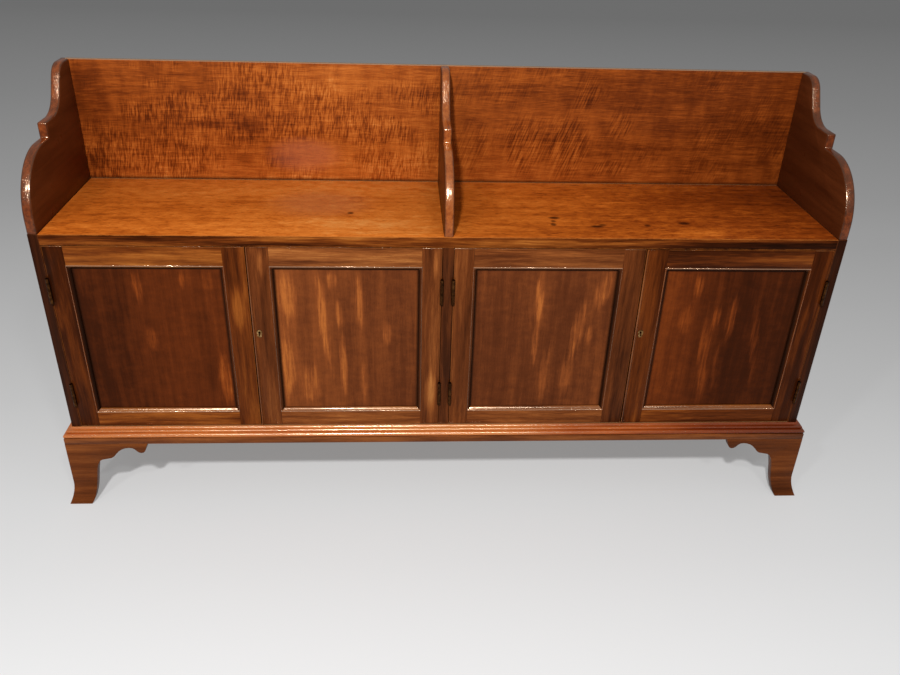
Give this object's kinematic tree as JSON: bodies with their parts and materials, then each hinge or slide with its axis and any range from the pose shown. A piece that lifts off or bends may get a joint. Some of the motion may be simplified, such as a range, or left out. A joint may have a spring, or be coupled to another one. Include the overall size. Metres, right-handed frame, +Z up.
{
  "type": "side cabinet",
  "caption": "Long low panelled side cabinet with a scrolled gallery, hinged doors over shelved cupboards, and a moulded base on bracket feet with swept toes.",
  "frame": {"origin": "on the floor below the middle of the overall box", "axes": "+X to the viewer's right along the front, +Y towards the back, +Z up; the doors face -Y"},
  "size_m": [1.898, 0.414, 1.021],
  "materials": {
    "mahogany_top": "waxed and polished, orange brown, straight grain",
    "mahogany_gallery_back": "polished, brown, rippled figure",
    "mahogany_carcass": "polished, dark red brown, worn at the edges",
    "mahogany_doors": "polished, dark brown, straight grain",
    "mahogany_panels": "polished, dark red brown, flame figure",
    "mahogany_base": "polished, red brown",
    "inside_wood": "plain secondary wood, waxed lightly",
    "aged_brass": "dull aged brass"
  },
  "bodies": {
    "cabinet": {"end_left": "mahogany_carcass", "end_right": "mahogany_carcass", "centre_division": "mahogany_carcass", "top_board": "mahogany_top", "bottom_board": "inside_wood", "carcass_back": "inside_wood", "shelf_left": "inside_wood", "shelf_right": "inside_wood", "gallery_back": "mahogany_gallery_back", "gallery_end_left": "mahogany_carcass", "gallery_end_right": "mahogany_carcass", "gallery_divider": "mahogany_carcass", "base_moulding": "mahogany_base", "base_frame": "mahogany_base", "foot_front_left": "mahogany_base", "foot_front_right": "mahogany_base", "foot_rear_left": "mahogany_base", "foot_rear_right": "mahogany_base", "door_1_upper_hinge_fixed_leaf": "aged_brass", "door_1_lower_hinge_fixed_leaf": "aged_brass", "door_2_upper_hinge_fixed_leaf": "aged_brass", "door_2_lower_hinge_fixed_leaf": "aged_brass", "door_3_upper_hinge_fixed_leaf": "aged_brass", "door_3_lower_hinge_fixed_leaf": "aged_brass", "door_4_upper_hinge_fixed_leaf": "aged_brass", "door_4_lower_hinge_fixed_leaf": "aged_brass"},
    "door_1": {"door_1_hinge_stile": "mahogany_doors", "door_1_meeting_stile": "mahogany_doors", "door_1_top_rail": "mahogany_doors", "door_1_bottom_rail": "mahogany_doors", "door_1_panel": "mahogany_panels", "door_1_upper_hinge_door_leaf": "aged_brass", "door_1_lower_hinge_door_leaf": "aged_brass"},
    "door_2": {"door_2_hinge_stile": "mahogany_doors", "door_2_meeting_stile": "mahogany_doors", "door_2_top_rail": "mahogany_doors", "door_2_bottom_rail": "mahogany_doors", "door_2_panel": "mahogany_panels", "door_2_upper_hinge_door_leaf": "aged_brass", "door_2_lower_hinge_door_leaf": "aged_brass", "door_2_lock_case": "aged_brass", "door_2_escutcheon": "aged_brass"},
    "door_3": {"door_3_hinge_stile": "mahogany_doors", "door_3_meeting_stile": "mahogany_doors", "door_3_top_rail": "mahogany_doors", "door_3_bottom_rail": "mahogany_doors", "door_3_panel": "mahogany_panels", "door_3_upper_hinge_door_leaf": "aged_brass", "door_3_lower_hinge_door_leaf": "aged_brass"},
    "door_4": {"door_4_hinge_stile": "mahogany_doors", "door_4_meeting_stile": "mahogany_doors", "door_4_top_rail": "mahogany_doors", "door_4_bottom_rail": "mahogany_doors", "door_4_panel": "mahogany_panels", "door_4_upper_hinge_door_leaf": "aged_brass", "door_4_lower_hinge_door_leaf": "aged_brass", "door_4_lock_case": "aged_brass", "door_4_escutcheon": "aged_brass"},
    "bolt_2": {"door_2_lock_bolt": "aged_brass"},
    "bolt_4": {"door_4_lock_bolt": "aged_brass"}
  },
  "joints": [
    {"name": "door_1_hinge", "type": "hinge", "parent": "cabinet", "child": "door_1", "pos_m": [-0.8924, -0.1773, 0.46], "axis": [0, 0, -1], "range_deg": [0, 175]},
    {"name": "door_2_hinge", "type": "hinge", "parent": "cabinet", "child": "door_2", "pos_m": [-0.0131, -0.1773, 0.46], "axis": [0, 0, 1], "range_deg": [0, 90]},
    {"name": "door_3_hinge", "type": "hinge", "parent": "cabinet", "child": "door_3", "pos_m": [0.0131, -0.1773, 0.46], "axis": [0, 0, -1], "range_deg": [0, 90]},
    {"name": "door_4_hinge", "type": "hinge", "parent": "cabinet", "child": "door_4", "pos_m": [0.8924, -0.1773, 0.46], "axis": [0, 0, 1], "range_deg": [0, 175]},
    {"name": "lock_2_bolt", "type": "slide", "parent": "door_2", "child": "bolt_2", "axis": [-1, 0, 0], "range_m": [0, 0.008]},
    {"name": "lock_4_bolt", "type": "slide", "parent": "door_4", "child": "bolt_4", "axis": [-1, 0, 0], "range_m": [0, 0.008]}
  ]
}
